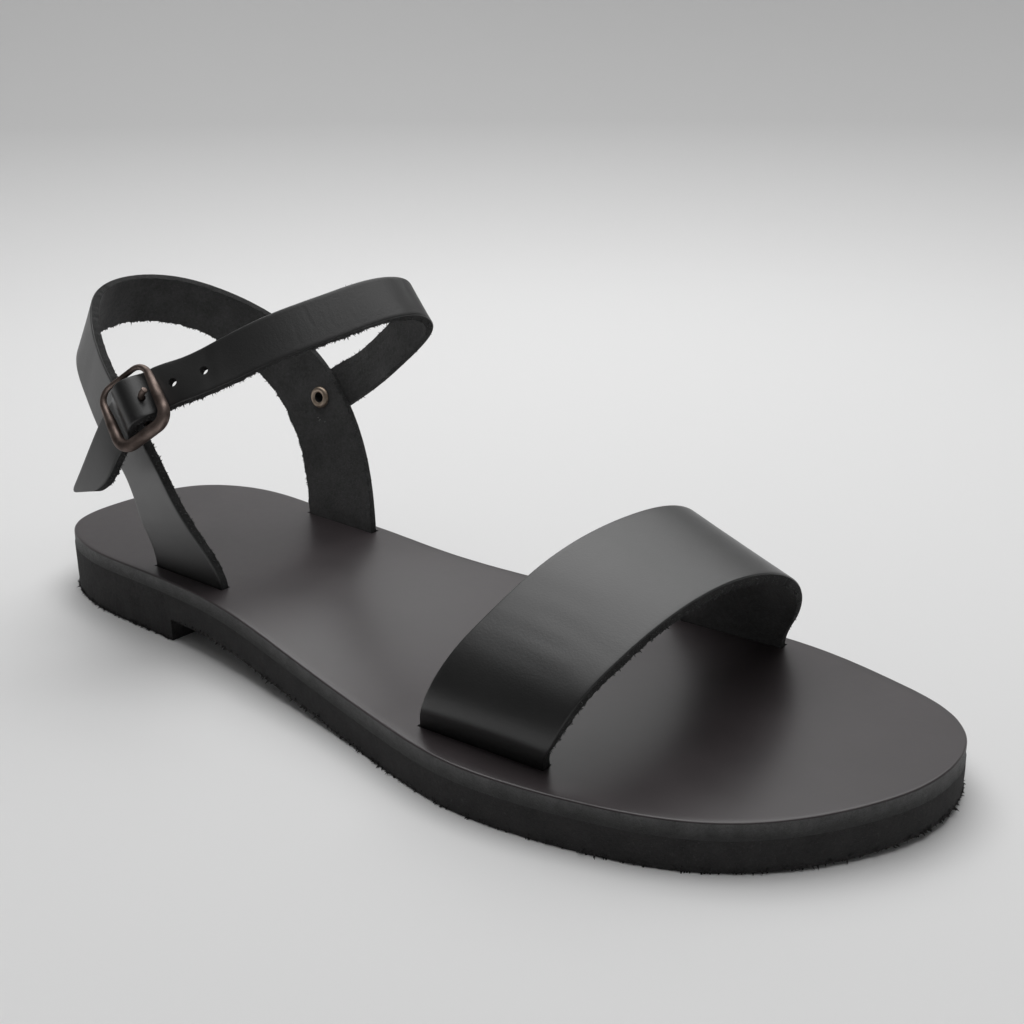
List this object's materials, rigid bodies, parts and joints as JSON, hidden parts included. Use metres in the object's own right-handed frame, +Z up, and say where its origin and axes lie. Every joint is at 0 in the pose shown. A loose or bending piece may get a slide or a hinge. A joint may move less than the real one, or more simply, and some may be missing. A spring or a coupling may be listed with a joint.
{
  "type": "flat sandal",
  "caption": "Flat leather sandal for the right foot: slotted insole on a rubber sole, wide toe strap, heel strap and buckled ankle strap.",
  "frame": {"origin": "middle of the box round the sole, on the floor it stands on", "axes": "+X to the toe, +Y to the inner side of the foot, +Z up"},
  "size_m": [0.255, 0.0959, 0.0923],
  "materials": {
    "sole_rubber": "matte, cut edge",
    "insole_leather": "satin, smooth grain",
    "strap_leather": "satin grain side, matte flesh side",
    "buckle_metal": "antique, dull, worn bright on the edges",
    "rivet_brass": "dull"
  },
  "bodies": {
    "root": {"outsole": "sole_rubber", "heel_lift": "sole_rubber", "insole": "insole_leather", "front_strap": "strap_leather", "back_strap": "strap_leather", "ankle_strap": "strap_leather", "buckle_frame": "buckle_metal", "buckle_prong": "buckle_metal", "rivet": "rivet_brass"}
  },
  "joints": []
}
